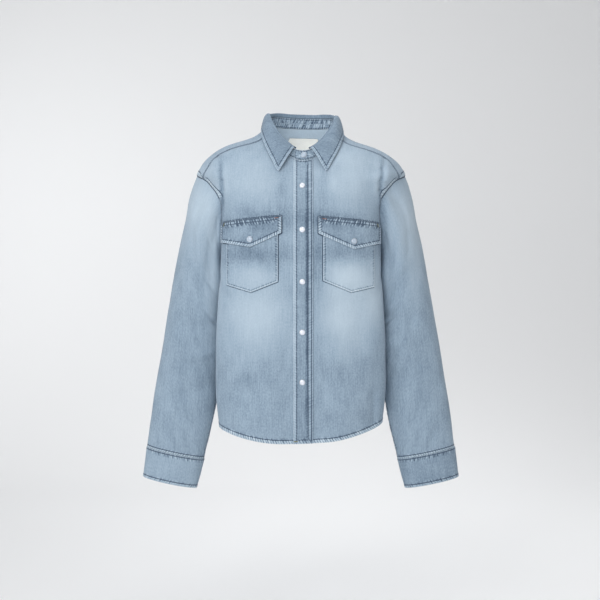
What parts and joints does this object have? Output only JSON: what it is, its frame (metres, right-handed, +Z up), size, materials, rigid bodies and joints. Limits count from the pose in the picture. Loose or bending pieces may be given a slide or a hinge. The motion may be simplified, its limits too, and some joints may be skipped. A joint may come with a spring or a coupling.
{
  "type": "denim shirt",
  "caption": "Long-sleeved denim shirt with turn-down collar, snap placket, back yoke and pointed flap chest pockets, a hollow cloth shell filled out as if worn.",
  "frame": {"origin": "at the foot of the neck, in the middle of the body, where the wearer's shoulders carry the shirt", "axes": "+X to the wearer's left, +Y to the back, +Z up"},
  "size_m": [0.69, 0.2419, 0.8296],
  "materials": {
    "denim": "washed light blue denim, faded at the high places",
    "label_cloth": "plain woven cream tape",
    "pearl": "pearl snap caps"
  },
  "bodies": {
    "root": {"back": "denim", "collar_fall": "denim", "collar_stand": "denim", "cuff_left": "denim", "cuff_right": "denim", "flap_left": "denim", "flap_right": "denim", "front_left": "denim", "front_right": "denim", "neck_label": "label_cloth", "placket": "denim", "pocket_left": "denim", "pocket_right": "denim", "sleeve_left": "denim", "sleeve_right": "denim", "snap_collar": "pearl", "snap_cuff_left": "pearl", "snap_cuff_right": "pearl", "snap_front_1": "pearl", "snap_front_2": "pearl", "snap_front_3": "pearl", "snap_front_4": "pearl", "snap_front_5": "pearl", "snap_pocket_left": "pearl", "snap_pocket_right": "pearl", "yoke": "denim"}
  },
  "joints": []
}
